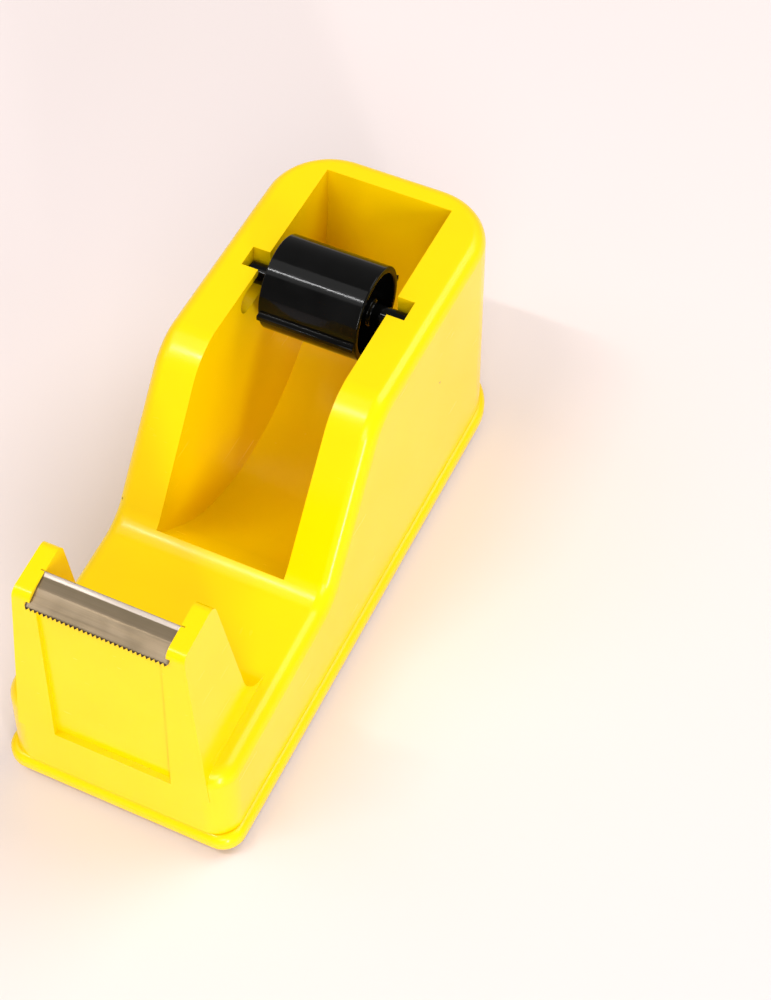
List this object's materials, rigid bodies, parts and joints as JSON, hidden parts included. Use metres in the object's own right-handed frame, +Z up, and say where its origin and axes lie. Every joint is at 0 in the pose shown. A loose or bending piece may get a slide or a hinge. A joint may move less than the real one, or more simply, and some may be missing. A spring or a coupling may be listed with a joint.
{
  "type": "desktop tape dispenser",
  "caption": "Weighted desktop tape dispenser: moulded housing with an open roll well, a turning core hub that drops into hooked slots, and a serrated cutter blade on a post.",
  "frame": {"origin": "middle of the underside of the anti-slip pad's box, on the surface the dispenser stands on", "axes": "+Z up, +Y from the cutter towards the rear, +X across the tape"},
  "size_m": [0.059, 0.151, 0.0726],
  "materials": {
    "housing_plastic": "glossy yellow injection moulding",
    "pad_rubber": "matt black foam rubber",
    "screw_steel": "zinc-plated steel",
    "ballast_iron": "rough as-cast iron",
    "blade_steel": "rolled steel strip with a grain along its width",
    "hub_plastic": "glossy black injection moulding"
  },
  "bodies": {
    "housing": {"body_shell": "housing_plastic", "base_tray": "housing_plastic", "anti_slip_pad": "pad_rubber", "base_screw_1": "screw_steel", "base_screw_2": "screw_steel", "base_screw_3": "screw_steel", "base_screw_4": "screw_steel", "ballast_front": "ballast_iron", "ballast_left": "ballast_iron", "ballast_right": "ballast_iron", "cutter_blade": "blade_steel"},
    "hub_axle": {"hub_axle": "hub_plastic"},
    "hub_barrel": {"hub_barrel": "hub_plastic"}
  },
  "joints": [
    {"name": "hub_lift", "type": "slide", "parent": "housing", "child": "hub_axle", "axis": [0, 0, 1], "range_m": [0, 0.04]},
    {"name": "hub_spin", "type": "hinge", "parent": "hub_axle", "child": "hub_barrel", "pos_m": [0, 0.0345, 0.0612], "axis": [1, 0, 0], "continuous": true}
  ]
}
